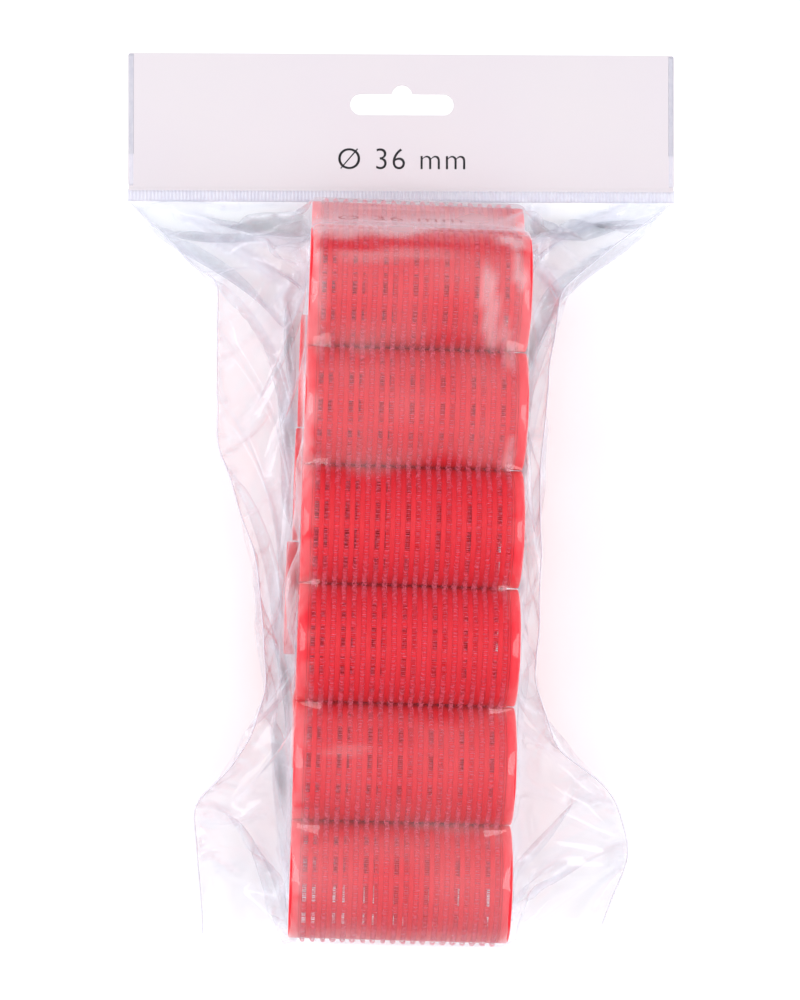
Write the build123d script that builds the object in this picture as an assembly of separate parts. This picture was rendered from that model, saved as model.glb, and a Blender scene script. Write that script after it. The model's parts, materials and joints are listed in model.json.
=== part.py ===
from build123d import *
import os
from collections import namedtuple
from math import cos, radians, sin, sqrt, tan

# A retail pack of self-grip hair rollers: two nested rows of open rollers in a clear film bag that hangs
# by a stiffer header. The pack lies on its back. X runs along the rollers, Y up the pack to the header,
# Z up from the table. The origin is the middle of the pack's footprint, on the table. Millimetres.

# One roller, measured over the tips of its hooks.
roller_diameter = 36.0
roller_length = 63.0
hook_height = 1.1
tape_thickness = 0.35
tape_seam_gap = 0.4
glue_gap = 0.05
core_wall = 1.2
rim_width = 2.75
rim_fillet = 0.4
rings_of_windows = 7
windows_per_ring = 12
window_length = 3.9
window_width = 6.0
window_from_rim = 0.95

# How the rollers lie. Each front roller rests across the valley between two back rollers.
rollers_per_row = 6
roller_gap = 0.3
row_stagger = 11.2
stack_lean = 1.9
stack_shift = 0.4
seam_turn = 67.0

# How far each back roller has slipped along its length, from the one at the header down.
back_slips = (0.0, -2.3, -2.7, -4.2, -0.8, 0.0)

# The film of the bag, thicker here than the real film so that it has a solid to weigh and to touch.
# Its wings and ears are how far its edge stands out past the ends of the rollers.
film_thickness = 0.3
film_clearance = 0.5
film_slack = 1.2
side_weld_width = 1.0
weld_height = 0.9
wing_left = 27.0
wing_right = 15.0
ear_left = 34.0
ear_right = 37.0
ear_drop = 8.5
ear_loft = 2.5
foot_corner = 26.0

# How the front film's sections change from the header to the foot. Brows are how far the film stands above
# a roller's axis or below its top, as shares of the hook radius. Draws are how far its edge is pulled in or
# let out there, in millimetres. The ears begin and are full so many roller pitches above the last roller.
back_brow_share = 0.42
front_brow_share = 0.3
foot_brow_share = 0.2
crown_drop_share = 0.07
foot_round_share = 0.35
corner_draw = 1.0
head_draw_left = 9.0
head_draw_right = 13.0
flare_left = 4.0
flare_right = 6.0
waist_draw_left = 3.0
waist_draw_right = 4.0
ear_tuck = 2.0
ears_begin = 1.4
ears_full = 0.7
corner_cuts = (0.3, 0.6, 0.65)
wall_bend_share = 0.3
ear_bend_share = 0.75

# The header, two sheets back to back, and the crimped weld that joins it to the bag.
header_width = 168.0
header_height = 41.0
header_sheet = 0.25
header_corner = 1.0
crimp_height = 3.7
fold_gap = 0.8
slot_width = 32.0
slot_height = 6.5
slot_hump_width = 6.4
slot_hump_height = 2.8
slot_from_top = 15.5

# What follows from them.
hook_radius = roller_diameter / 2
tape_radius = hook_radius - hook_height
core_radius = tape_radius - tape_thickness - glue_gap
bore_radius = core_radius - core_wall
tape_length = roller_length - 2 * (rim_width + glue_gap)
window_span = roller_length - 2 * (rim_width + window_from_rim) - window_length
ring_pitch = window_span / (rings_of_windows - 1)
pitch = 2 * tape_radius + roller_gap
row_rise = sqrt(pitch**2 - row_stagger**2)
end_clearance = film_clearance + roller_length / 2 * sin(radians(stack_lean))

back_axis_z = film_thickness + film_clearance + hook_radius
front_axis_z = back_axis_z + row_rise
film_top_z = front_axis_z + hook_radius + film_clearance + film_thickness
shoulder = roller_length / 2 + film_slack + film_clearance

row_length = (rollers_per_row - 1) * pitch
row_end = hook_radius + end_clearance + film_thickness
pack_length = header_height + fold_gap + crimp_height + 2 * row_end + row_length + row_stagger + ear_drop
pack_top_y = pack_length / 2
header_foot_y = pack_top_y - header_height
hinge_y = header_foot_y - fold_gap / 2
crimp_top_y = header_foot_y - fold_gap
crimp_foot_y = crimp_top_y - crimp_height
back_first_y = crimp_foot_y - row_end
front_first_y = back_first_y - row_stagger
front_last_y = front_first_y - row_length
stack_middle_y = (back_first_y + front_last_y) / 2


def stack_place(y, z):
    """Where a point on the stack's middle line goes once the stack leans over to one side."""
    lean = radians(stack_lean)
    along = y - stack_middle_y
    middle = (stack_shift + along * sin(lean), stack_middle_y + along * cos(lean), z)
    return Location(middle, (0, 0, -stack_lean))


def lean_shift(y):
    """How far sideways the stack's middle line is at this height up the pack."""
    return stack_shift + (y - stack_middle_y) * tan(radians(stack_lean))


def roller_places():
    """Each roller's name, the place of its middle and the turn of its seam, from the header down."""
    for n in range(rollers_per_row):
        slip = Pos(back_slips[n % len(back_slips)], 0, 0)
        place = stack_place(back_first_y - n * pitch, back_axis_z) * slip
        yield f"back_roller_{n + 1}", place, n * seam_turn
    for n in range(rollers_per_row):
        place = stack_place(front_first_y - n * pitch, front_axis_z)
        yield f"front_roller_{n + 1}", place, n * seam_turn + 90


def tube(outer, inner, length):
    """A plain tube along X, centred on the origin."""
    return Cylinder(outer, length, rotation=(0, 90, 0)) - Cylinder(inner, 2 * length, rotation=(0, 90, 0))


def roller_core():
    """The moulded core: a tube with a smooth raised rim at each end and rings of square windows."""
    core = Cylinder(core_radius, roller_length, rotation=(0, 90, 0))
    for side in (-1, 1):
        middle = side * (roller_length - rim_width) / 2
        core += Pos(middle, 0, 0) * Cylinder(tape_radius, rim_width, rotation=(0, 90, 0))
    ends = core.edges().filter_by(GeomType.CIRCLE).group_by(Axis.X)
    core = fillet(ends[0] + ends[-1], min(rim_fillet, core_wall / 3))
    core -= Cylinder(bore_radius, 2 * roller_length, rotation=(0, 90, 0))
    cutters = []
    for ring in range(rings_of_windows):
        x = ring * ring_pitch - window_span / 2
        for n in range(windows_per_ring // 2):
            across = Box(window_length, 4 * core_radius, window_width)
            cutters.append(Pos(x, 0, 0) * Rot(n * 360 / windows_per_ring, 0, 0) * across)
    return core - cutters


def hook_tape():
    """The strip of hook tape wrapped round the core, with its two ends meeting at a narrow seam."""
    sleeve = tube(tape_radius, tape_radius - tape_thickness, tape_length)
    return sleeve - Pos(0, tape_radius, 0) * Box(2 * tape_length, tape_radius, tape_seam_gap)


# A cross-section of the front film: how far up the pack it is, the height of its flat top, how far out
# its foot is on the left and right, and the height at which its sides bend outwards to the foot.
Station = namedtuple("Station", "y top left right bend")


def film_stations():
    """The front film's cross-sections from the crimped weld down to the bag's foot."""
    corner = header_width / 2 - side_weld_width
    left, right = shoulder + wing_left, shoulder + wing_right
    ear_l, ear_r = shoulder + ear_left, shoulder + ear_right
    cut_1, cut_2, cut_3 = (ear_r - share * foot_corner for share in corner_cuts)
    high, low = film_top_z, film_thickness + weld_height / 2
    back_brow = back_axis_z + back_brow_share * hook_radius
    front_brow = front_axis_z + front_brow_share * hook_radius
    foot_brow = high - foot_brow_share * hook_radius
    crown = high - crown_drop_share * hook_radius
    head_y = front_first_y + row_end
    crown_y = front_first_y + hook_radius / 2
    foot_y = front_last_y - row_end
    side = film_top_z / 3
    middle_left, middle_right = left - wing_left / 2, right - wing_right / 2
    return [
        Station(crimp_foot_y, low, corner, corner, low),
        Station(crimp_foot_y - 0.1, back_brow, corner - corner_draw, corner - corner_draw, 2 * low),
        Station(head_y, front_brow, corner - head_draw_left, corner - head_draw_right, side / 10),
        Station(crown_y, crown, left + flare_left, right + flare_right, side / 2),
        Station(front_first_y, high, left, right, side),
        Station(stack_middle_y + pitch, high, left - waist_draw_left, right - waist_draw_right, side),
        Station(stack_middle_y, high, middle_left, middle_right, side),
        Station(front_last_y + ears_begin * pitch, high, middle_left - wing_left / 4, middle_right, side),
        Station(front_last_y + ears_full * pitch, high, ear_l, ear_r, ear_loft),
        Station(front_last_y, high, ear_l, ear_r, ear_loft),
        Station(foot_y + foot_round_share * hook_radius, foot_brow, ear_l, cut_1, ear_loft),
        Station(foot_y, front_brow, ear_l, cut_2, ear_loft),
        Station(foot_y - film_thickness, 2 * ear_loft, ear_l, cut_3, ear_loft),
        Station(foot_y - ear_drop, low, ear_l - ear_tuck, ear_r - foot_corner, low),
    ]


def film_section(station, inset):
    """One cross-section of the front film as a closed wire, pulled in by the inset on all sides but below."""
    y, top, left, right, bend = station
    middle = lean_shift(y)
    foot_z = film_thickness - inset
    bend_z = min(bend, top) - inset
    bend_share = wall_bend_share if bend > 2 * ear_loft else ear_bend_share
    left_bend = left + (shoulder - middle - left) * bend_share
    right_bend = right + (shoulder + middle - right) * bend_share
    points = [
        Vector(2 * inset - left, y, foot_z),
        Vector(2 * inset - left_bend, y, bend_z),
        Vector(middle - shoulder + inset, y, top - inset),
        Vector(middle + shoulder - inset, y, top - inset),
        Vector(right_bend - 2 * inset, y, bend_z),
        Vector(right - 2 * inset, y, foot_z),
    ]
    return Wire.make_polygon(points, close=True)


def bag_front_film():
    """The film over the rollers: a thin tent that stands on the back film and is open underneath."""
    stations = film_stations()
    outer = Solid.make_loft([film_section(s, 0) for s in stations], ruled=True)
    inner_stations = []
    for s in stations:
        towards_middle = film_thickness if s.y < front_last_y else -film_thickness
        at_an_end = s.y > front_first_y or s.y < front_last_y
        inner_stations.append(s._replace(y=s.y + towards_middle) if at_an_end else s)
    inner = Solid.make_loft([film_section(s, film_thickness) for s in inner_stations], ruled=True)
    return outer - inner


def film_edge(side, outwards):
    """The points of the bag's left (-1) or right (1) edge on the table, from the weld down to the foot."""
    return [(side * ((s.left if side < 0 else s.right) + outwards), s.y) for s in film_stations()]


def bag_back_film():
    """The film under the rollers: one flat sheet on the table, cut to the foot of the front film."""
    left, right = film_edge(-1, side_weld_width), film_edge(1, side_weld_width)
    return extrude(make_face(Polyline(*left, *reversed(right), close=True)), film_thickness)


def side_weld(side):
    """The narrow weld along one edge of the bag, on top of the back film and outside the front film."""
    strip = Polyline(*film_edge(side, 0), *reversed(film_edge(side, side_weld_width)), close=True)
    return Pos(0, 0, film_thickness) * extrude(make_face(strip), weld_height - film_thickness)


def crimp_weld():
    """The crimped strip that welds the header to both films."""
    middle = (crimp_top_y + crimp_foot_y) / 2
    return Pos(0, middle, weld_height / 2) * Box(header_width, crimp_height, weld_height)


def header_panel():
    """One header sheet with its slot for a shop hook: a long slot with a hump for the hook's wire."""
    slot_y = pack_top_y - slot_from_top
    hump_radius = slot_hump_width / 2
    hump_y = slot_y + slot_height / 2 + slot_hump_height - hump_radius
    middle_y = header_foot_y + header_height / 2
    outline = Pos(0, middle_y) * RectangleRounded(header_width, header_height, header_corner)
    outline -= Pos(0, slot_y) * SlotOverall(slot_width, slot_height)
    outline -= Pos(0, hump_y) * Circle(hump_radius)
    return extrude(outline, header_sheet)


def write(name, shape):
    """Each piece is one file, named as its node."""
    export_step(shape, os.path.join("parts", name + ".step"))


os.makedirs("parts", exist_ok=True)
core, tape = roller_core(), hook_tape()
for name, place, seam in roller_places():
    write(name + "_core", place * Rot(seam, 0, 0) * core)
    write(name + "_hook_tape", place * Rot(seam, 0, 0) * tape)
write("bag_back_film", bag_back_film())
write("bag_front_film", bag_front_film())
write("bag_left_weld", side_weld(-1))
write("bag_right_weld", side_weld(1))
write("header_crimp_weld", crimp_weld())
write("header_back_panel", header_panel())
write("header_front_panel", Pos(0, 0, header_sheet) * header_panel())

print("pack", header_width, "x", round(pack_length, 2), "x", round(film_top_z, 2))
print("header hinge at y", round(hinge_y, 3), "z", header_sheet)
print("roller bore radius", round(bore_radius, 3))
for name, place, seam in roller_places():
    print(name, [round(v, 3) for v in place.position])
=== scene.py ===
import json
from math import cos, pi, radians, sin, tau

import bpy
import numpy as np
from mathutils import Matrix, Vector


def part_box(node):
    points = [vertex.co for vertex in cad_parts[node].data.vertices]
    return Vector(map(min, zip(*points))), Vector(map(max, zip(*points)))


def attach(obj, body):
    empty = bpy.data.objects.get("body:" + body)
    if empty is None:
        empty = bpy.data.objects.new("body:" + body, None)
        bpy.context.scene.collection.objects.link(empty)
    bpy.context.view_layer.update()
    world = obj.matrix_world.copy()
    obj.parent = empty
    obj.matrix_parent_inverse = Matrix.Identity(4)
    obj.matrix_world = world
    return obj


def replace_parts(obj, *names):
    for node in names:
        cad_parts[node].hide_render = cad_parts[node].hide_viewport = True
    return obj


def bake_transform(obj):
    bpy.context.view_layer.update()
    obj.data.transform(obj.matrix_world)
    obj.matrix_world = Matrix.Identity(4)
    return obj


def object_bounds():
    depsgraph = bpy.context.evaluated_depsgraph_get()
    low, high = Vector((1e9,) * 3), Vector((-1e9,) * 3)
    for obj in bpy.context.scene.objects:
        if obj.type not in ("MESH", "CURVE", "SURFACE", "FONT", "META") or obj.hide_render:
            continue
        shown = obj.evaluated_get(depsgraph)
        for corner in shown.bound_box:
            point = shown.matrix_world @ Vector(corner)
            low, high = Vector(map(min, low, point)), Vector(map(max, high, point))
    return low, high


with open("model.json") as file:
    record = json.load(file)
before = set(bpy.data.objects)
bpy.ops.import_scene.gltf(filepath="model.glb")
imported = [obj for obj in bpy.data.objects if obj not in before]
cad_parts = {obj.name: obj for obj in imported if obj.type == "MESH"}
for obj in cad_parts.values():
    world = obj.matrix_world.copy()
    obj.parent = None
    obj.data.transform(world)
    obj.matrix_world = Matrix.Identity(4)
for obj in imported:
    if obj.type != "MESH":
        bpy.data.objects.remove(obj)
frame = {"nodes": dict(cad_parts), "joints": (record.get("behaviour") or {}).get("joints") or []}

# The looks of a sealed bag of self-grip hair rollers. Metres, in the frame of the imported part: X runs along
# the rollers, Y up the pack to the header, Z up from the table.

MM = 0.001
cad_low, cad_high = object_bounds()

# The roller. Its tape is a row of woven bands with an open ladder of threads and hooks between each two.
ROLLER_LENGTH = 63 * MM
HOOK_RADIUS = 18 * MM
TAPE_RADIUS = 16.9 * MM
TAPE_THICKNESS = 0.35 * MM
TAPE_LENGTH = 57.4 * MM
SEAM_GAP = 0.4 * MM
SEAM_TURN = radians(23)
FIRST_SEAM = radians(215)
LADDERS = 20
LADDER_PITCH = 2.87 * MM
LADDER_WIDTH = 1.35 * MM
HOOKS_ROUND = 92
HOOK_RINGS = 5
HOOK_HALF_SPAN = 0.66 * MM
CROSS_THREAD_RADIUS = TAPE_RADIUS - 0.6 * TAPE_THICKNESS
THREAD_RADIUS = 0.09 * MM
BAND_STEPS = 72

# The bag, as two flat layers of film joined at both sides and folded at the foot. Its bends across are where
# a row of the film turns at the start, in millimetres from the left weld.
BAG_WIDTH = 166 * MM
BAG_LENGTH = 280 * MM
BENDS_ACROSS = (0, 20, 54, 119, 153, 166)
FILM_GAP = 0.2 * MM
FILM_TOUCH = 0.3 * MM
COARSE_STEP = 3.2 * MM
COARSE_ROUNDS = 420
FINE_ROUNDS = 260
SAG = 2e-5
BEAD_RADIUS = 0.22 * MM

# The header.
RIB_PITCH = 1.1 * MM
RIB_HEIGHT = 0.22 * MM
MARGIN = 1.7 * MM
EDGE_INSET = 0.2 * MM
PRINT_SIZE = 9.4 * MM
PRINT_FOOT = 5.6 * MM
FOLD_REACH = 10 * MM


# ---------------------------------------------------------------- meshes


def grid_quads(rows, cols, round_cols=False):
    """Four-sided faces between neighbouring points of a grid. With round_cols the last column meets the
    first."""
    index = np.arange(rows * cols).reshape(rows, cols)
    if round_cols:
        index = np.hstack([index, index[:, :1]])
    corners = [index[:-1, :-1], index[:-1, 1:], index[1:, 1:], index[1:, :-1]]
    return np.stack(corners, -1).reshape(-1, 4)


def repeated(faces, points_each, count):
    """The faces of one small shape, for many copies whose points follow each other."""
    shifts = np.arange(count)[:, None, None] * points_each
    return (faces[None] + shifts).reshape(-1, faces.shape[1])


def make_piece(name, points, face_sets, material, body, uv=None, smooth=True):
    """A mesh object from an array of points and arrays of faces, with a value of uv for each point. It
    rides on the body, if one is given."""
    points = np.asarray(points, np.float32).reshape(-1, 3)
    corners = np.concatenate([faces.ravel() for faces in face_sets]).astype(np.int32)
    sizes = np.concatenate([np.full(len(faces), faces.shape[1]) for faces in face_sets])
    starts = (np.cumsum(sizes) - sizes).astype(np.int32)
    mesh = bpy.data.meshes.new(name)
    mesh.vertices.add(len(points))
    mesh.vertices.foreach_set("co", points.ravel())
    mesh.loops.add(len(corners))
    mesh.loops.foreach_set("vertex_index", corners)
    mesh.polygons.add(len(starts))
    mesh.polygons.foreach_set("loop_start", starts)
    mesh.polygons.foreach_set("use_smooth", np.full(len(starts), smooth))
    if uv is not None:
        layer = mesh.uv_layers.new(name="flat")
        layer.data.foreach_set("uv", np.asarray(uv, np.float32).reshape(-1, 2)[corners].ravel())
    mesh.update(calc_edges=True)
    mesh.materials.append(material)
    piece = bpy.data.objects.new(name, mesh)
    bpy.context.scene.collection.objects.link(piece)
    if body:
        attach(piece, body)
    return piece


def point_values(piece, name, values):
    """Stores one number for each point of a piece, for its material to read."""
    layer = piece.data.attributes.new(name, "FLOAT", "POINT")
    layer.data.foreach_set("value", np.asarray(values, np.float32).ravel())


def smoothstep(x, low, high):
    """0 below low and 1 above high, with an S-shaped rise 3t^2 - 2t^3 between them."""
    t = np.clip((x - low) / (high - low), 0, 1)
    return t * t * (3 - 2 * t)


def smooth_noise(rng, shape, cells):
    """Random smooth waves on a grid: values on a coarse lattice, blended with a smoothstep between them."""
    lattice = rng.standard_normal((cells[0] + 2, cells[1] + 2))
    u = np.linspace(0, cells[0], shape[0])[:, None]
    v = np.linspace(0, cells[1], shape[1])[None, :]
    i, j = u.astype(int), v.astype(int)
    s, t = smoothstep(u - i, 0, 1), smoothstep(v - j, 0, 1)
    top = lattice[i, j] * (1 - t) + lattice[i, j + 1] * t
    low = lattice[i + 1, j] * (1 - t) + lattice[i + 1, j + 1] * t
    return top * (1 - s) + low * s


# ---------------------------------------------------------------- materials


def add_node(tree, kind, inputs=None, **settings):
    """Adds a node, sets its properties, and gives its inputs their values or the sockets that feed them."""
    made = tree.nodes.new(kind)
    for name, value in settings.items():
        setattr(made, name, value)
    for key, value in (inputs or {}).items():
        if isinstance(value, bpy.types.NodeSocket):
            tree.links.new(value, made.inputs[key])
        else:
            made.inputs[key].default_value = value
    return made


def maths(tree, operation, first, second=0.0):
    """One sum on two numbers or sockets."""
    return add_node(tree, "ShaderNodeMath", {0: first, 1: second}, operation=operation).outputs[0]


def mix_colours(tree, share, first, second):
    """The first colour where share is 0 and the second where it is 1."""
    return add_node(tree, "ShaderNodeMix", {0: share, 6: first, 7: second}, data_type="RGBA").outputs[2]


def new_group(name, inputs, outputs):
    """An empty shader node group with named sockets. inputs holds (name, kind, value) and outputs holds
    (name, kind)."""
    tree = bpy.data.node_groups.new(name, "ShaderNodeTree")
    for label, kind, value in inputs:
        socket = tree.interface.new_socket(label, in_out="INPUT", socket_type="NodeSocket" + kind)
        socket.default_value = value
    for label, kind in outputs:
        tree.interface.new_socket(label, in_out="OUTPUT", socket_type="NodeSocket" + kind)
    return tree, tree.nodes.new("NodeGroupInput").outputs, tree.nodes.new("NodeGroupOutput").inputs


def cloud(tree, scale, detail):
    """Noise in the piece's own coordinates, stretched to run from 0 to 1 with soft ends."""
    place = add_node(tree, "ShaderNodeTexCoord").outputs["Object"]
    noise = add_node(tree, "ShaderNodeTexNoise", {"Vector": place, "Scale": scale, "Detail": detail})
    spread = {"Value": noise.outputs["Fac"], "From Min": 0.28, "From Max": 0.72}
    return add_node(tree, "ShaderNodeMapRange", spread, interpolation_type="SMOOTHSTEP").outputs[0]


def uneven_colour_group():
    """Two colours in soft clouds."""
    white = (1, 1, 1, 1)
    inputs = [("Colour", "Color", white), ("Other colour", "Color", white), ("Scale", "Float", 50)]
    tree, given, out = new_group("uneven_colour", inputs, [("Colour", "Color")])
    mixed = mix_colours(tree, cloud(tree, given["Scale"], 4), given["Colour"], given["Other colour"])
    tree.links.new(mixed, out["Colour"])
    return tree


def uneven_gloss_group():
    """A roughness that drifts between two values."""
    inputs = [("Smooth", "Float", 0.2), ("Rough", "Float", 0.4), ("Scale", "Float", 200)]
    tree, given, out = new_group("uneven_gloss", inputs, [("Roughness", "Float")])
    span = maths(tree, "SUBTRACT", given["Rough"], given["Smooth"])
    drift = maths(tree, "MULTIPLY", cloud(tree, given["Scale"], 3), span)
    tree.links.new(maths(tree, "ADD", drift, given["Smooth"]), out["Roughness"])
    return tree


def fine_grain_group():
    """A slightly rough skin, as a normal."""
    inputs = [("Scale", "Float", 900), ("Depth", "Float", 0.00002)]
    tree, given, out = new_group("fine_grain", inputs, [("Normal", "Vector")])
    bump = add_node(
        tree, "ShaderNodeBump", {"Height": cloud(tree, given["Scale"], 5), "Distance": given["Depth"]}
    )
    tree.links.new(bump.outputs["Normal"], out["Normal"])
    return tree


def new_material(name):
    """A material with an empty node tree and its output."""
    material = bpy.data.materials.new(name)
    material.use_nodes = True
    material.node_tree.nodes.clear()
    return material, material.node_tree, material.node_tree.nodes.new("ShaderNodeOutputMaterial")


def use_group(tree, group, inputs):
    """One use of a shared effect, with its own values."""
    made = tree.nodes.new("ShaderNodeGroup")
    made.node_tree = group
    for key, value in inputs.items():
        made.inputs[key].default_value = value
    return made.outputs[0]


def plain_finish(name, colour, other, patch, smooth, rough, grain, depth, **settings):
    """An opaque finish in two close colours, with a drifting gloss and a fine grain. settings are the
    values of the shader's own sockets, named with _ for each space."""
    material, tree, out = new_material(name)
    own_values = {socket.replace("_", " "): value for socket, value in settings.items()}
    shader = add_node(tree, "ShaderNodeBsdfPrincipled", own_values)
    colours = {"Colour": (*colour, 1), "Other colour": (*other, 1), "Scale": patch}
    gloss = {"Smooth": smooth, "Rough": rough, "Scale": 3 * patch}
    tree.links.new(use_group(tree, uneven_colour, colours), shader.inputs["Base Color"])
    tree.links.new(use_group(tree, uneven_gloss, gloss), shader.inputs["Roughness"])
    tree.links.new(use_group(tree, fine_grain, {"Scale": grain, "Depth": depth}), shader.inputs["Normal"])
    tree.links.new(shader.outputs[0], out.inputs["Surface"])
    return material


def woven_red():
    """The woven bands of the tape. Warp threads run round the roller and weft threads across, on a map in
    millimetres: the height is the larger of two rows of ridges, and the valleys between are painted darker,
    as shade."""
    material, tree, out = new_material("woven_red")
    own_values = {
        "Specular IOR Level": 0.35,
        "Subsurface Weight": 0.3,
        "Subsurface Scale": 2 * MM,
        "Subsurface Radius": RED_DEPTHS,
        # Painted glow: a faint red emission.
        "Emission Color": (*PAINTED_RED_GLOW, 1),
        "Emission Strength": 1.0,
    }
    shader = add_node(tree, "ShaderNodeBsdfPrincipled", own_values)
    flat = add_node(tree, "ShaderNodeUVMap", uv_map="flat").outputs[0]
    ways = add_node(tree, "ShaderNodeSeparateXYZ", {0: flat}).outputs
    warp = maths(tree, "ABSOLUTE", maths(tree, "SINE", maths(tree, "MULTIPLY", ways[1], pi / WARP_STEP)))
    weft = maths(tree, "ABSOLUTE", maths(tree, "SINE", maths(tree, "MULTIPLY", ways[0], pi / WEFT_STEP)))
    weave = maths(tree, "MAXIMUM", warp, maths(tree, "MULTIPLY", weft, 0.8))
    bump = add_node(tree, "ShaderNodeBump", {"Height": weave, "Distance": 0.05 * MM, "Strength": 0.8})
    reds = {"Colour": (0.80, 0.014, 0.028, 1), "Other colour": (0.74, 0.010, 0.022, 1), "Scale": 120}
    # Painted shade: the weave's valleys are coloured a darker red.
    painted_valley_shade = (0.55, 0.008, 0.018, 1)
    colour = mix_colours(tree, weave, painted_valley_shade, use_group(tree, uneven_colour, reds))
    tree.links.new(colour, shader.inputs["Base Color"])
    gloss = {"Smooth": 0.42, "Rough": 0.6, "Scale": 400}
    tree.links.new(use_group(tree, uneven_gloss, gloss), shader.inputs["Roughness"])
    tree.links.new(bump.outputs["Normal"], shader.inputs["Normal"])
    tree.links.new(shader.outputs[0], out.inputs["Surface"])
    return material


def clear_film(name, clear, crease_shade_colour, haze_and_highlight_colour):
    """Thin clear film. Its reflection is 0.04 + 0.96 f^5, where f goes from 0 face on to 1 edge on. The point
    value called crease darkens what shows through, as painted shade along the creases, and the other point
    value adds a matt haze: a faint haze of the film's own, and painted highlights and reflections where it is
    stronger."""
    material, tree, out = new_material(name)
    crease = add_node(tree, "ShaderNodeAttribute", attribute_name="crease").outputs["Fac"]
    haze_and_highlight = add_node(tree, "ShaderNodeAttribute", attribute_name="haze_and_highlight").outputs["Fac"]
    facing = add_node(tree, "ShaderNodeLayerWeight", {"Blend": 0.5}).outputs["Facing"]
    edge = maths(tree, "MULTIPLY", maths(tree, "POWER", facing, 5.0), 1 - FILM_SHINE)
    shine = maths(tree, "ADD", edge, FILM_SHINE)
    # Painted shade: what shows through darkens along the creases.
    tint = mix_colours(tree, crease, (*clear, 1), (*crease_shade_colour, 1))
    through = add_node(tree, "ShaderNodeBsdfTransparent", {"Color": tint})
    gloss = use_group(tree, uneven_gloss, {"Smooth": 0.03, "Rough": 0.09, "Scale": 150})
    mirror = add_node(tree, "ShaderNodeBsdfGlossy", {"Color": (0.97, 0.97, 1, 1), "Roughness": gloss})
    # A matt haze: the film's own faint haze, and painted highlights and reflections where the value is
    # larger.
    haze = add_node(tree, "ShaderNodeBsdfDiffuse", {"Color": (*haze_and_highlight_colour, 1)})
    film = add_node(tree, "ShaderNodeMixShader", {0: shine, 1: through.outputs[0], 2: mirror.outputs[0]})
    whole = add_node(tree, "ShaderNodeMixShader", {0: haze_and_highlight, 1: film.outputs[0], 2: haze.outputs[0]})
    tree.links.new(whole.outputs[0], out.inputs["Surface"])
    return material


# Light goes further into the red pieces in red than in green and blue. A faint painted glow, an emission
# though the pieces are no lamp, stands in for the light that comes through their thin walls and lifts the
# shade between the rollers.
RED_DEPTHS = (1, 0.25, 0.2)
PAINTED_RED_GLOW = (0.050, 0.0010, 0.0022)

# The spacing of the tape's warp and weft threads, in millimetres, and how much clear film reflects face on.
WARP_STEP = 0.23
WEFT_STEP = 0.29
FILM_SHINE = 0.04

uneven_colour = uneven_colour_group()
uneven_gloss = uneven_gloss_group()
fine_grain = fine_grain_group()
core_red = plain_finish(
    "moulded_red", (0.86, 0.020, 0.036), (0.80, 0.012, 0.027), 90, 0.28, 0.42, 700, 0.02 * MM,
    Specular_IOR_Level=0.45, Subsurface_Weight=0.5, Subsurface_Scale=3 * MM, Subsurface_Radius=RED_DEPTHS,
    # Painted glow: a faint red emission.
    Emission_Color=(*PAINTED_RED_GLOW, 1), Emission_Strength=1.0,
)
band_red = woven_red()
hook_pink = plain_finish(
    "hook_nylon", (0.86, 0.16, 0.25), (0.80, 0.09, 0.16), 400, 0.18, 0.35, 900, 0.01 * MM,
    Specular_IOR_Level=0.6,
)
thread_red = plain_finish(
    "cross_thread", (0.84, 0.085, 0.145), (0.78, 0.045, 0.085), 400, 0.3, 0.45, 900, 0.01 * MM,
)
# The colours: clear film, the painted shade along creases, and the haze with its painted highlights.
bag_film = clear_film("bag_film", (0.993, 0.998, 1.0), (0.955, 0.968, 0.99), (0.93, 0.92, 0.97))
weld_film = plain_finish(
    "pressed_weld", (0.86, 0.86, 0.95), (0.78, 0.78, 0.90), 500, 0.12, 0.3, 700, 0.02 * MM, Alpha=0.55,
)
header_film = plain_finish(
    "milky_header", (0.65, 0.607, 0.647), (0.655, 0.615, 0.645), 26, 0.22, 0.26, 120, 0.03 * MM,
    Specular_IOR_Level=0.4,
)
print_ink = plain_finish(
    "print_ink", (0.012, 0.012, 0.014), (0.02, 0.02, 0.024), 300, 0.3, 0.45, 800, 0.005 * MM,
)


# ---------------------------------------------------------------- rollers


def roller_place(spin):
    """The middle of a roller, its axis, and the two directions across it. Angles are counted from the first
    of those towards the second."""
    middle = np.array(spin["pos_m"])
    axis = np.array(spin["axis"]) / np.linalg.norm(spin["axis"])
    up = np.array([0.0, 0.0, 1.0])
    return middle, axis, np.cross(up, axis), up


def on_roller(place, along, radius, angle):
    """Points at a distance along the axis, a radius and an angle round it, as whole arrays."""
    middle, axis, side, up = place
    across = np.cos(angle)[..., None] * side + np.sin(angle)[..., None] * up
    return middle + along[..., None] * axis + radius[..., None] * across


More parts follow.
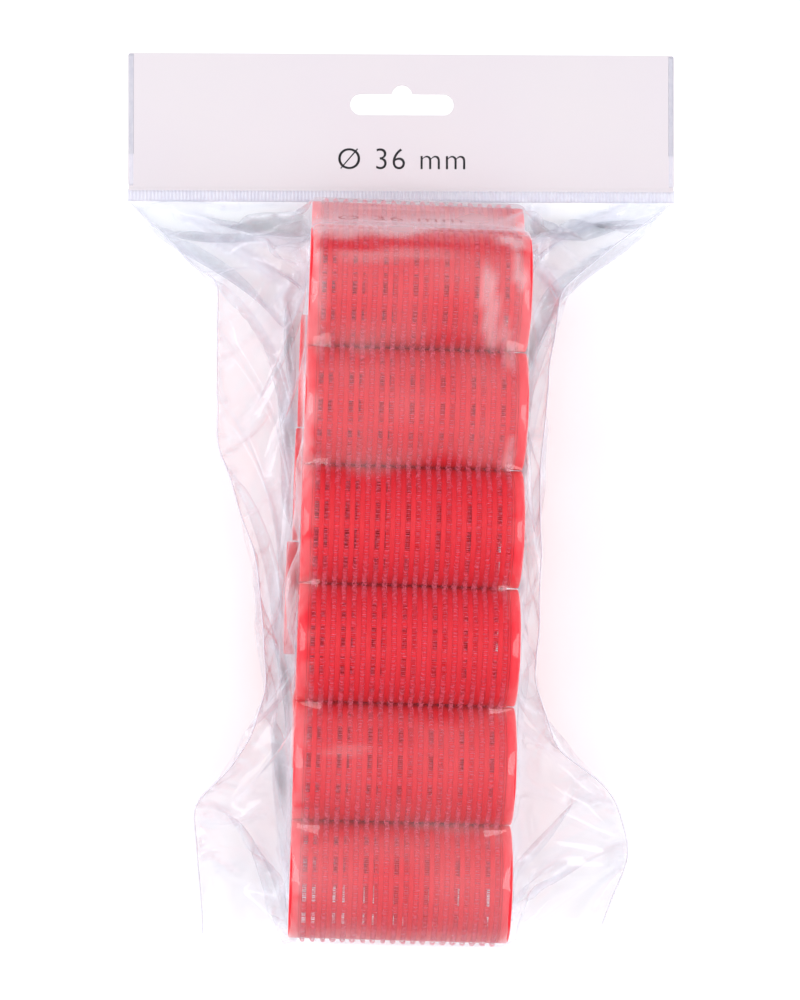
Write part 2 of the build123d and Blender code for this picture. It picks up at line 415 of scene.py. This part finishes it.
def tape_bands(name, place, seam):
    """The woven bands. Each is a closed low dome in section, bent once round the roller from seam to seam,
    and drawn to a point at both ends. The section's height over its width w is close to
    (1 - (2x/w)^6)^(1/2)."""
    starts = np.append(-TAPE_LENGTH / 2, ladder_places() + LADDER_WIDTH / 2)
    ends = np.append(ladder_places() - LADDER_WIDTH / 2, TAPE_LENGTH / 2)
    share = np.array([-1, -0.9, -0.55, 0, 0.55, 0.9, 1, 0])
    height = np.array([0.15, 0.72, 0.96, 1, 0.96, 0.72, 0.15, 0]) * TAPE_THICKNESS
    half_gap = SEAM_GAP / 2 / TAPE_RADIUS
    turn = np.concatenate([[0], np.linspace(0, 1, BAND_STEPS + 1), [1]])
    shrink = np.ones(len(turn))
    shrink[[0, -1]] = 0
    middles, halves = (starts + ends) / 2, (ends - starts) / 2
    along = middles[:, None, None] + halves[:, None, None] * (share * shrink[:, None])[None]
    foot = TAPE_RADIUS - TAPE_THICKNESS
    radius = foot + (height - height.mean()) * shrink[:, None] + height.mean()
    angle = seam + half_gap + turn * (tau - 2 * half_gap)
    radius = np.broadcast_to(radius[None], along.shape)
    angle = np.broadcast_to(angle[None, :, None], along.shape)
    points = on_roller(place, along, radius, angle)
    uv = np.stack([angle * TAPE_RADIUS / MM, along / MM], -1)
    one_band = grid_quads(len(turn), len(share), round_cols=True)
    quads = repeated(one_band, len(turn) * len(share), len(middles))
    return make_piece(name + "_tape_bands", points, [quads], band_red, name, uv=uv)


def ladder_places():
    """How far along the roller each ladder's middle is."""
    return (np.arange(LADDERS) - (LADDERS - 1) / 2) * LADDER_PITCH


def three_sided(path, out, side, radius):
    """Three points round each point of many paths, for a thin thread."""
    turns = np.arange(3) * tau / 3
    ring = np.cos(turns)[:, None] * out[..., None, :] + np.sin(turns)[:, None] * side[..., None, :]
    return path[..., None, :] + radius * ring


def thread_faces(rings, count):
    """The faces of many three-sided threads of that many rings, each closed by a triangle at both ends."""
    sides = repeated(grid_quads(rings, 3, round_cols=True), 3 * rings, count)
    last = 3 * (rings - 1)
    caps = repeated(np.array([[2, 1, 0], [last, last + 1, last + 2]]), 3 * rings, count)
    return [sides, caps]


def tape_hooks(name, place, rng):
    """The hooks and cross threads in the ladders. A hook is a thread that stands across its ladder: it goes
    up from one side, over and part of the way down, x = r cos(a) and z = h sin(a)^0.6, and is cut off there.
    Two cross threads for each hook lie low from band to band."""
    count = LADDERS * HOOKS_ROUND
    ladder = np.repeat(ladder_places(), HOOKS_ROUND)
    step = tau / HOOKS_ROUND
    turn = np.tile(np.arange(HOOKS_ROUND) * step, LADDERS) + rng.uniform(-0.12, 0.12, count) * step
    flip = np.where(rng.random(count) < 0.5, -1.0, 1.0)[:, None]
    cut = rng.uniform(0.62, 0.88, count)[:, None]
    height = (HOOK_RADIUS - TAPE_RADIUS + TAPE_THICKNESS / 2) * rng.uniform(0.78, 0.95, count)[:, None]
    bend = np.linspace(0.03, 1, HOOK_RINGS) * cut * pi
    stray = rng.normal(0, 0.12 * MM, count)[:, None]
    along = ladder[:, None] + stray + flip * HOOK_HALF_SPAN * np.cos(bend)
    rise = height * np.sin(bend) ** 0.6
    lean = rng.uniform(-0.35, 0.35, count)[:, None] * rise
    radius = TAPE_RADIUS - TAPE_THICKNESS / 2 + rise
    angle = turn[:, None] + lean / radius
    path = on_roller(place, along, radius, angle)
    middle, axis, side, up = place
    slope = np.gradient(path, axis=1)
    slope /= np.linalg.norm(slope, axis=-1, keepdims=True)
    tangent = -np.sin(angle)[..., None] * side + np.cos(angle)[..., None] * up
    out = np.cross(tangent, slope)
    out /= np.linalg.norm(out, axis=-1, keepdims=True)
    hooks = three_sided(path, out, np.cross(slope, out), THREAD_RADIUS)
    reach = np.array([-0.55, 0.55]) * LADDER_WIDTH
    low_along = np.repeat(ladder, 2)[:, None] + reach
    low_turn = (turn[:, None] + np.array([0.25, 0.75]) * step).ravel()
    low_angle = np.repeat(low_turn[:, None], 2, axis=1)
    low = on_roller(place, low_along, np.full(low_along.shape, CROSS_THREAD_RADIUS), low_angle)
    low_out = np.cos(low_angle)[..., None] * side + np.sin(low_angle)[..., None] * up
    low_side = np.cross(np.broadcast_to(axis, low_out.shape), low_out)
    threads = three_sided(low, low_out, low_side, THREAD_RADIUS)
    first = thread_faces(HOOK_RINGS, count)
    second = thread_faces(2, 2 * count)
    shift = 3 * HOOK_RINGS * count
    points = np.concatenate([hooks.reshape(-1, 3), threads.reshape(-1, 3)])
    faces = [first[0], second[0] + shift, first[1], second[1] + shift]
    piece = make_piece(name + "_tape_hooks", points, faces, hook_pink, name)
    piece.data.materials.append(thread_red)
    finish = np.repeat([0, 1, 0, 1], [len(part) for part in faces]).astype(np.int32)
    piece.data.polygons.foreach_set("material_index", finish)
    return piece


spins = [joint for joint in frame["joints"] if joint["name"].endswith("_spin")]
rollers = []
for number, spin in enumerate(spins):
    name = spin["child"]
    place = roller_place(spin)
    rollers.append(place[:2])
    seam = FIRST_SEAM + SEAM_TURN * (number % 6)
    bands = tape_bands(name, place, seam)
    hooks = tape_hooks(name, place, np.random.default_rng(100 + number))
    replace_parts(bands, name + "_hook_tape")
    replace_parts(hooks, name + "_hook_tape")
    frame["nodes"][name + "_core"].data.materials.clear()
    frame["nodes"][name + "_core"].data.materials.append(core_red)


# ---------------------------------------------------------------- film

# Where the bag's side welds and the middle of each layer run, from the header down to the foot.
LEFT_WELD = [
    (-83, 92, 0.5), (-64, 71, 20), (-56.4, 66, 30), (-56.2, 18, 35), (-44, -17, 35), (-41.2, -55, 35),
    (-46, -69, 34), (-52, -79, 30), (-63.8, -90, 25), (-62.3, -108.6, 22), (-60.7, -130, 18),
]
RIGHT_WELD = [
    (83, 92, 0.5), (47, 64, 30), (43.5, 45, 35), (40, 12, 35), (40, -30, 35), (38.5, -53, 34),
    (45.7, -74, 30), (60.2, -84.7, 26), (65, -90, 24), (69, -106, 18), (60, -128, 18),
]
FRONT_MIDDLE = [
    (0, 92, 0.5), (0, 90.8, 19), (0, 78, 59), (0, 61, 69.6), (0, -109, 69.6), (0, -122, 64), (0, -128, 55),
]
BACK_MIDDLE = [(0, 92, 0.5), (0, -112, 0.4), (0, -124, 10), (0, -128, 55)]


def along_path(points, distance):
    """Points at given shares of the whole length of a path of straight runs, in metres."""
    points = np.array(points, float) * MM
    runs = np.concatenate([[0], np.cumsum(np.linalg.norm(np.diff(points, axis=0), axis=1))])
    return np.stack([np.interp(distance * runs[-1], runs, points[:, k]) for k in range(3)], axis=-1)


def start_layer(middle, shape, over):
    """One layer before it settles. Each row runs from weld to weld through six points: the weld, the foot
    of the rollers' end faces, and the edge of the stack, on both sides. Rows near the header lie
    straight."""
    rows, cols = shape
    down = np.linspace(0, 1, rows)
    left, right = along_path(LEFT_WELD, down), along_path(RIGHT_WELD, down)
    centre = along_path(middle, down)
    stack_x = stack_middle[0] + (centre[:, 1] - stack_middle[1]) * stack_slope
    half = ROLLER_LENGTH / 2 + 1 * MM
    lift = np.array([0, 0, 0.8 * MM if over else -0.8 * MM])
    edge_left = np.stack([stack_x - half, centre[:, 1], centre[:, 2]], -1)
    edge_right = np.stack([stack_x + half, centre[:, 1], centre[:, 2]], -1)
    foot_left, foot_right = (left + edge_left) / 2 + lift, (right + edge_right) / 2 + lift
    foot_left[:, 0], foot_right[:, 0] = stack_x - half - 0.5 * MM, stack_x + half + 0.5 * MM
    foot_left[:, 2], foot_right[:, 2] = left[:, 2] + lift[2], right[:, 2] + lift[2]
    knots = np.array(BENDS_ACROSS) / BENDS_ACROSS[-1]
    bent = np.stack([left, foot_left, edge_left, edge_right, foot_right, right], 1)
    straight = left[:, None] + (right - left)[:, None] * knots[:, None]
    near_header = np.clip(1 - down / 0.16, 0, 1)[:, None, None]
    bent = bent * (1 - near_header) + straight * near_header
    at = np.linspace(0, 1, cols)
    run = np.clip(np.searchsorted(knots, at, side="right") - 1, 0, len(knots) - 2)
    share = ((at - knots[run]) / (knots[run + 1] - knots[run]))[None, :, None]
    return bent[:, run] * (1 - share) + bent[:, run + 1] * share


def pull(a, b, rest, stiffness, only_push=False):
    """Moves two equal arrays of points, in place, towards their rest distance: each end goes half of the
    stiffness times the error. With only_push, pairs that are further apart are left alone."""
    span = b - a
    length = np.sqrt((span * span).sum(-1, keepdims=True)) + 1e-12
    error = length - rest
    if only_push:
        error = np.minimum(error, 0)
    move = span * (0.5 * stiffness * error / length)
    a += move
    b -= move


def keep_flat_size(p, step, bend):
    """Brings a layer back to its flat spacing: along both directions, across both diagonals, and, as far as
    bend says, over every second point so that it doesn't fold sharply. Pairs in one call share no point."""
    diagonal = step * 2**0.5
    for k in (0, 1):
        n, m = (p.shape[0] - k) // 2 * 2, (p.shape[1] - k) // 2 * 2
        pull(p[k:k + n:2], p[k + 1:k + n:2], step, 1.0)
        pull(p[:, k:k + m:2], p[:, k + 1:k + m:2], step, 1.0)
    for k in (0, 1):
        n = (p.shape[0] - k) // 2 * 2
        upper, lower = p[k:k + n:2], p[k + 1:k + n:2]
        pull(upper[:, :-1], lower[:, 1:], diagonal, 0.5)
        pull(upper[:, 1:], lower[:, :-1], diagonal, 0.5)
    for k in range(4):
        n, m = (p.shape[0] - k) // 4 * 4, (p.shape[1] - k) // 4 * 4
        pull(p[k:k + n:4], p[k + 2:k + n:4], 2 * step, bend, True)
        pull(p[:, k:k + m:4], p[:, k + 2:k + m:4], 2 * step, bend, True)


def keep_off_rollers(p):
    """Moves points out of the rollers: to the curved wall or to the end face, whichever is nearer."""
    for middle, axis in rollers:
        near = np.abs(p - middle).max(-1) < 0.6 * ROLLER_LENGTH
        q = p[near] - middle
        along = q @ axis
        across = q - along[:, None] * axis
        radius = np.sqrt((across * across).sum(-1)) + 1e-12
        to_wall = HOOK_RADIUS + FILM_TOUCH - radius
        to_end = ROLLER_LENGTH / 2 + FILM_TOUCH - np.abs(along)
        inside = (to_wall > 0) & (to_end > 0)
        by_wall = inside & (to_wall < to_end)
        by_end = inside & ~by_wall
        q[by_wall] += across[by_wall] * (to_wall / radius)[by_wall, None]
        q[by_end] += (np.sign(along) * to_end)[by_end, None] * axis
        p[near] = q + middle


def settle(front, back, step, rounds, bend, hold):
    """Lets both layers sag and find their places. Each round they sink a little, return to their flat size,
    stay joined at the sides and the foot, keep their order, and stay off the rollers and the table. hold
    pulls the side welds softly to their routes."""
    down = np.linspace(0, 1, front.shape[0])
    left, right = along_path(LEFT_WELD, down), along_path(RIGHT_WELD, down)
    top = front[0].copy()
    for _ in range(rounds):
        for p in (front, back):
            p[1:, :, 2] -= SAG
            keep_flat_size(p, step, bend)
        for a, b in ((front[:, 0], back[:, 0]), (front[:, -1], back[:, -1]), (front[-1], back[-1])):
            joined = (a + b) / 2
            a[:] = joined
            b[:] = joined
        front[0] = top
        back[0] = top
        for edge, route in ((0, left), (-1, right)):
            move = (route - front[:, edge]) * hold
            front[:, edge] += move
            back[:, edge] += move
        under = np.zeros(front.shape[:2])
        under[1:-1, 1:-1] = np.maximum(back[..., 2] + FILM_GAP - front[..., 2], 0)[1:-1, 1:-1] / 2
        front[..., 2] += under
        back[..., 2] -= under
        for p in (front, back):
            keep_off_rollers(p.reshape(-1, 3))
            np.maximum(p[..., 2], FILM_GAP, out=p[..., 2])


def finer(p):
    """The same layer with a new point in the middle of each run between two neighbours."""
    rows, cols = p.shape[:2]
    q = np.zeros((2 * rows - 1, 2 * cols - 1, 3))
    q[::2, ::2] = p
    q[1::2, ::2] = (p[1:] + p[:-1]) / 2
    q[:, 1::2] = (q[:, :-1:2] + q[:, 2::2]) / 2
    return q


def settled_bag():
    """Both layers of the bag after they have settled round the rollers."""
    rng = np.random.default_rng(5)
    shape = (round(BAG_LENGTH / COARSE_STEP) + 1, round(BAG_WIDTH / COARSE_STEP) + 1)
    step = BAG_WIDTH / (shape[1] - 1)
    layers = [start_layer(FRONT_MIDDLE, shape, True), start_layer(BACK_MIDDLE, shape, False)]
    for p in layers:
        p[..., 2] += smooth_noise(rng, shape, (22, 14)) * 1.5 * MM
        p[..., 0] += smooth_noise(rng, shape, (22, 14)) * 1.2 * MM
    settle(*layers, step, COARSE_ROUNDS, 0.2, 0.3)
    layers = [finer(p) for p in layers]
    for p in layers:
        p[1:-1, 1:-1, 2] += smooth_noise(rng, p.shape[:2], (60, 40))[1:-1, 1:-1] * 0.4 * MM
    settle(*layers, step / 2, FINE_ROUNDS, 0.06, 0.1)
    for _ in range(8):
        for edge in (0, -1):
            line = layers[0][:, edge].copy()
            line[1:-1] = (line[2:] + line[:-2] + 2 * line[1:-1]) / 4
            layers[0][:, edge] = line
            layers[1][:, edge] = line
    return layers


def crease_of(p):
    """How sharply a layer bends at each point: the distance from it to the middle of its four neighbours,
    as a share of the spacing, smoothed and clipped to run from 0 to 1."""
    middle = np.zeros(p.shape)
    middle[1:-1, 1:-1] = (p[2:, 1:-1] + p[:-2, 1:-1] + p[1:-1, 2:] + p[1:-1, :-2]) / 4 - p[1:-1, 1:-1]
    spacing = BAG_WIDTH / (p.shape[1] - 1)
    bend = np.linalg.norm(middle, axis=-1) / spacing
    padded = np.pad(bend, 1, mode="edge")
    bend = (padded[2:, 1:-1] + padded[:-2, 1:-1] + padded[1:-1, 2:] + padded[1:-1, :-2] + 2 * bend) / 6
    return smoothstep(bend, 0.02, 0.28)


def film_sheet(name, p, haze_and_highlight):
    """One layer as a piece, with its crease value and its value for haze and painted highlights, smoothed
    once.
    """
    rows, cols = p.shape[:2]
    uv = np.stack(np.meshgrid(np.linspace(0, BAG_WIDTH, cols), np.linspace(0, BAG_LENGTH, rows)), -1)
    quads = grid_quads(rows, cols)[:, ::-1]
    piece = make_piece(name, p, [quads], bag_film, "bag", uv=uv)
    point_values(piece, "crease", crease_of(p))
    point_values(piece, "haze_and_highlight", haze_and_highlight)
    smooth = piece.modifiers.new("smooth", "SUBSURF")
    smooth.levels = 1
    smooth.render_levels = 1
    return piece


def weld_bead(name, path):
    """The rounded bead of a cut and sealed film edge: a six-sided tube along the edge, drawn to a point at
    both ends."""
    slope = np.gradient(path, axis=0)
    slope /= np.linalg.norm(slope, axis=-1, keepdims=True)
    side = np.cross(slope, np.array([0.0, 0.0, 1.0]))
    side /= np.linalg.norm(side, axis=-1, keepdims=True)
    up = np.cross(side, slope)
    turns = np.arange(6) * tau / 6
    ring = np.cos(turns)[:, None] * side[:, None] + np.sin(turns)[:, None] * up[:, None]
    width = np.full(len(path), BEAD_RADIUS)
    width[[0, -1]] = 0
    points = path[:, None] + width[:, None, None] * ring
    quads = grid_quads(len(path), 6, round_cols=True)
    return make_piece(name, points, [quads], weld_film, "bag")


first, last = np.array(spins[0]["pos_m"]), np.array(spins[-1]["pos_m"])
stack_middle = (first + last) / 2
stack_slope = -spins[0]["axis"][1] / spins[0]["axis"][0]
front_layer, back_layer = settled_bag()

# The haze that each layer has all over, the film's own, and how much more the front has at each height up the
# pack, in millimetres, which is painted reflection of the soft light on the film: most over the roller at the
# header, next to none where it turns down there and over the middle two rollers.
FRONT_MILK = 0.004
BACK_MILK = 0.006
PAINTED_REFLECTION_BY_HEIGHT = [
    (-130, 0.08), (-96, 0.065), (-92, 0.036), (-62, 0.036), (-58, 0.004), (9, 0.004), (13, 0.055),
    (40, 0.055), (44, 0.03), (48, 0.065), (70, 0.07), (73, 0.008), (77, 0.008), (79, 0.2), (92, 0.2),
]

# Painted highlights: soft patches of white where the film mirrors the soft boxes. For each, the middle across
# and up the pack, the half width and half height, the turn in degrees, and how much matt haze.
PAINTED_HIGHLIGHT_PATCHES = [
    (22.5, 55, 2.9, 15, 3, 0.15),
    (-4, 70, 24, 2.2, 1, 0.08),
    (29, 74, 5, 2.2, -14, 0.28),
    (30.5, 66, 2, 8, 10, 0.15),
    (-28.5, 72, 1.9, 6, 32, 0.22),
    (27.5, 45, 2, 11, 8, 0.09),
    (-25, 60, 2, 12, 1, 0.08),
    (28, 14, 2, 6, -4, 0.14),
    (-18, -70, 9, 2, 6, 0.04),
    (12, -92, 14, 2, -3, 0.04),
    (-29.5, 20, 2, 22, 1, 0.12),
]


def painted_highlight_patches(x, y):
    """The sum of the painted highlight patches, each a soft ellipse that is full inside 0.6 of its size and
    gone at its edge."""
    total = np.zeros(x.shape)
    for across, up, half_width, half_height, turn, value in PAINTED_HIGHLIGHT_PATCHES:
        dx, dy = x / MM - across, y / MM - up
        c, s = cos(radians(turn)), sin(radians(turn))
        far = np.hypot((dx * c + dy * s) / half_width, (dy * c - dx * s) / half_height)
        total += value * (1 - smoothstep(far, 0.6, 1.0))
    return total


def haze_and_highlight_of(p):
    """How hazy and bright the front layer is: a faint haze of its own all over, painted reflection by height
    over the rollers, painted highlights in patches and in stripes where it turns down over the rollers' ends,
    and, off the rollers only, painted highlights where it bends sharply."""
    x, y = p[..., 0], p[..., 1]
    rng = np.random.default_rng(8)
    broad = np.clip(smooth_noise(rng, x.shape, (34, 16)), -1.5, 1.5)
    fine = np.clip(smooth_noise(rng, x.shape, (60, 44)), -1.5, 1.5)
    stack_x = stack_middle[0] + (y - stack_middle[1]) * stack_slope
    beside = np.abs(x - stack_x) / (ROLLER_LENGTH / 2)
    over_rollers = 1 - smoothstep(beside, 1.0, 1.12)
    heights, values = np.array(PAINTED_REFLECTION_BY_HEIGHT).T
    # Painted reflection: a matt haze by height over the rollers, with ragged edges.
    bent_y = y / MM + 1.6 * broad + 1.4 * np.maximum(fine, 0)
    haze_and_highlight = FRONT_MILK + np.interp(bent_y, heights, values) * over_rollers * (1 + 0.25 * broad)
    # Painted highlights: stripes where the film turns down over the rollers' ends, stronger on the left, as
    # the soft boxes mirror in it.
    shoulder = smoothstep(beside, 0.86, 0.9) * (1 - smoothstep(beside, 0.985, 1.01))
    haze_and_highlight += np.where(x < stack_x, 0.08, 0.03) * shoulder * smoothstep(np.abs(broad - 0.2), 0.1, 0.5)
    # Painted highlights in patches.
    haze_and_highlight += painted_highlight_patches(x, y) * (1 + 0.2 * broad)
    # Painted highlights along sharp creases, off the rollers only.
    return haze_and_highlight + 0.22 * smoothstep(crease_of(p), 0.6, 1.0) * (1 - over_rollers)


# The back layer's own faint haze, and painted highlights along its sharp creases.
back_haze_and_highlight = BACK_MILK + 0.25 * smoothstep(crease_of(back_layer), 0.6, 1.0)
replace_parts(film_sheet("bag_front_sheet", front_layer, haze_and_highlight_of(front_layer)), "bag_front_film")
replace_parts(film_sheet("bag_back_sheet", back_layer, back_haze_and_highlight), "bag_back_film")
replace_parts(weld_bead("bag_left_weld_bead", front_layer[:, 0]), "bag_left_weld")
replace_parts(weld_bead("bag_right_weld_bead", front_layer[:, -1]), "bag_right_weld")


# ---------------------------------------------------------------- header


def crimp_knurl():
    """The crimped weld: a flat strip whose upper face is pressed into ribs, z = h cos^2(pi x / pitch). Each
    section across it is a loop of points, given as shares of its width and height."""
    low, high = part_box("header_crimp_weld")
    ribs = int((high.x - low.x) / RIB_PITCH)
    x = np.linspace(low.x, high.x, 6 * ribs + 1)
    share_y = np.array([0, 0.04, 0.12, 0.3, 0.5, 0.7, 0.88, 0.96, 1, 1, 0])
    share_z = np.array([0.5, 0.8, 1, 1, 1, 1, 1, 0.8, 0.5, 0, 0])
    ribbed = np.array([0, 0, 1, 1, 1, 1, 1, 0, 0, 0, 0])
    rib = np.cos(pi * (x - low.x) / RIB_PITCH)[:, None] ** 2
    z = low.z + (high.z - low.z - RIB_HEIGHT) * share_z + RIB_HEIGHT * ribbed * rib
    y = np.broadcast_to(low.y + (high.y - low.y) * share_y, z.shape)
    points = np.stack([np.broadcast_to(x[:, None], z.shape), y, z], -1)
    ends = points[[0, -1]].mean(1, keepdims=True) + np.zeros((2, len(share_y), 3))
    points = np.concatenate([ends[:1], points, ends[1:]])
    quads = grid_quads(points.shape[0], points.shape[1], round_cols=True)
    return make_piece("header_crimp_knurl", points, [quads], weld_film, "bag")


def header_margin(name, left, right):
    """The clear sealed margin down one side of the header: a thin raised strip with rounded long edges, its
    height over its width w going as (1 - (2x/w)^4)."""
    low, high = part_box("header_front_panel")
    share = np.linspace(-1, 1, 9)
    x = (left + right) / 2 + share * (right - left) / 2
    y = np.linspace(low.y + 0.3 * MM, high.y - 0.3 * MM, 40)
    z = high.z + 0.07 * MM * (1 - share**4)
    top = np.stack(np.broadcast_arrays(x, y[:, None], z), -1)
    under = top[:, ::-1].copy()
    under[..., 2] = high.z
    loop = np.concatenate([top, under[:, 1:-1]], 1)
    ends = loop[[0, -1]].mean(1, keepdims=True) + np.zeros((2, loop.shape[1], 3))
    loop = np.concatenate([ends[:1], loop, ends[1:]])
    quads = grid_quads(loop.shape[0], loop.shape[1], round_cols=True)
    return make_piece(name, loop, [quads], weld_film, "header")


def size_print():
    """The roller's diameter printed on the header, in plain thin figures."""
    low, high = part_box("header_front_panel")
    curve = bpy.data.curves.new("size_print", "FONT")
    curve.body = "Ø 36 mm"
    curve.align_x = "CENTER"
    curve.size = PRINT_SIZE
    curve.extrude = 0.02 * MM
    curve.offset = -0.00009
    curve.space_character = 1.12
    letters = bpy.data.objects.new("size_print", curve)
    bpy.context.scene.collection.objects.link(letters)
    bpy.context.view_layer.update()
    mesh = bpy.data.meshes.new_from_object(letters)
    bpy.data.objects.remove(letters)
    piece = bpy.data.objects.new("header_size_print", mesh)
    bpy.context.scene.collection.objects.link(piece)
    points = np.zeros(len(mesh.vertices) * 3, np.float32)
    mesh.vertices.foreach_get("co", points)
    points = points.reshape(-1, 3) + np.array([0, low.y + PRINT_FOOT, high.z + 0.04 * MM], np.float32)
    mesh.vertices.foreach_set("co", points.ravel())
    mesh.materials.clear()
    mesh.materials.append(print_ink)
    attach(piece, "header")


def fold_film():
    """The header's film where it runs down into the crimped weld. Its height goes from the weld's to the
    panel's by a smoothstep."""
    crimp_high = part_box("header_crimp_weld")[1]
    panel_low, panel_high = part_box("header_front_panel")
    x = np.linspace(panel_low.x + EDGE_INSET, panel_high.x - EDGE_INSET, 85)
    y = np.linspace(crimp_high.y - 0.6 * MM, panel_low.y + FOLD_REACH, 36)
    over = smoothstep(y, crimp_high.y - 0.1 * MM, panel_low.y)
    z = (crimp_high.z - RIB_HEIGHT) * (1 - over) + (panel_high.z + 0.03 * MM) * over
    points = np.stack(np.broadcast_arrays(x[None, :], y[:, None], z[:, None]), -1)
    piece = make_piece("header_fold_film", points, [grid_quads(36, 85)], header_film, None)
    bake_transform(piece)


fold_film()
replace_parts(crimp_knurl(), "header_crimp_weld")
panel_low, panel_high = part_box("header_front_panel")
header_margin("header_left_margin", panel_low.x + EDGE_INSET, panel_low.x + MARGIN)
header_margin("header_right_margin", panel_high.x - MARGIN, panel_high.x - EDGE_INSET)
size_print()
for panel in ("header_back_panel", "header_front_panel"):
    frame["nodes"][panel].data.materials.clear()
    frame["nodes"][panel].data.materials.append(header_film)


# ---------------------------------------------------------------- studio

# How bright the air of the studio is, half the side of its floor in metres, and where the camera stands.
AIR = 0.6
FLOOR_HALF = 2.5
CAMERA_PLACE = (-0.028, 0.0005, 0.8)
CAMERA_AIM = (-0.0006, 0.00055, 0)


def studio_floor():
    """A pale floor just under the pack, as a grid of four by four squares."""
    grid = np.linspace(-FLOOR_HALF, FLOOR_HALF, 5)
    x, y = np.meshgrid(grid, grid)
    z = np.full(x.size, cad_low.z - 0.1 * MM)
    mesh = bpy.data.meshes.new("floor")
    mesh.from_pydata(np.stack([x.ravel(), y.ravel(), z], -1), [], grid_quads(5, 5))
    mesh.materials.append(floor_paint)
    floor = bpy.data.objects.new("floor", mesh)
    bpy.context.scene.collection.objects.link(floor)


def soft_box(name, place, size, strength, mirrored=True):
    """A rectangular light that faces the pack. One that isn't mirrored lights without showing in gloss."""
    lamp = bpy.data.lights.new(name, "AREA")
    lamp.shape = "RECTANGLE"
    lamp.size, lamp.size_y = size
    lamp.energy = strength
    box = bpy.data.objects.new(name, lamp)
    bpy.context.scene.collection.objects.link(box)
    box.location = place
    box.rotation_mode = "QUATERNION"
    box.rotation_quaternion = (-Vector(place)).to_track_quat("-Z", "Y")
    box.visible_glossy = mirrored


def studio_air():
    """The air is an even soft white. What glossy film mirrors is darker overhead and along the pack, bright
    white on both sides, and pale lilac low down, as between two long soft boxes."""
    world = bpy.data.worlds.new("studio_air")
    bpy.context.scene.world = world
    world.use_nodes = True
    tree = world.node_tree
    tree.nodes.clear()
    way = add_node(tree, "ShaderNodeTexCoord").outputs["Generated"]
    parts = add_node(tree, "ShaderNodeSeparateXYZ", {0: way}).outputs
    sideways = {"Value": maths(tree, "ABSOLUTE", parts[0]), "From Min": 0.3, "From Max": 0.75}
    beside = add_node(tree, "ShaderNodeMapRange", sideways).outputs[0]
    mirrored = mix_colours(tree, beside, (0.20, 0.20, 0.24, 1), (1.5, 1.5, 1.56, 1))
    upwards = {"Value": parts[2], "From Min": 0.0, "From Max": 0.35}
    lift = add_node(tree, "ShaderNodeMapRange", upwards).outputs[0]
    mirrored = mix_colours(tree, lift, (0.82, 0.82, 0.92, 1), mirrored)
    in_mirror = add_node(tree, "ShaderNodeLightPath").outputs["Is Glossy Ray"]
    colour = mix_colours(tree, in_mirror, (0.97, 0.97, 1, 1), mirrored)
    air = add_node(tree, "ShaderNodeBackground", {"Color": colour, "Strength": AIR})
    tree.links.new(air.outputs[0], add_node(tree, "ShaderNodeOutputWorld").inputs[0])


def studio_camera():
    """The camera, above the pack and a little to its left, looking straight down."""
    lens = bpy.data.cameras.new("camera")
    lens.lens = 93.6
    lens.sensor_width = 36
    camera = bpy.data.objects.new("camera", lens)
    bpy.context.scene.collection.objects.link(camera)
    camera.location = CAMERA_PLACE
    back = (camera.location - Vector(CAMERA_AIM)).normalized()
    right = Vector((0, 1, 0)).cross(back).normalized()
    camera.rotation_mode = "QUATERNION"
    camera.rotation_quaternion = Matrix((right, back.cross(right), back)).transposed().to_quaternion()
    lens.clip_start, lens.clip_end = 0.01, 20
    bpy.context.scene.camera = camera


floor_paint = plain_finish("floor_paint", (0.96, 0.97, 0.99), (0.97, 0.98, 1.0), 2, 0.7, 0.8, 40, 0.05 * MM)
studio_floor()
studio_air()
soft_box("left_box", (-0.8, 0.05, 0.55), (0.5, 1.1), 6)
soft_box("right_box", (0.85, -0.05, 0.5), (0.4, 1.1), 5.5)
soft_box("top_box", (0.05, 0.05, 1.4), (1.2, 1.2), 7, mirrored=False)
studio_camera()
bpy.context.scene.view_settings.view_transform = "Standard"

bpy.context.view_layer.update()
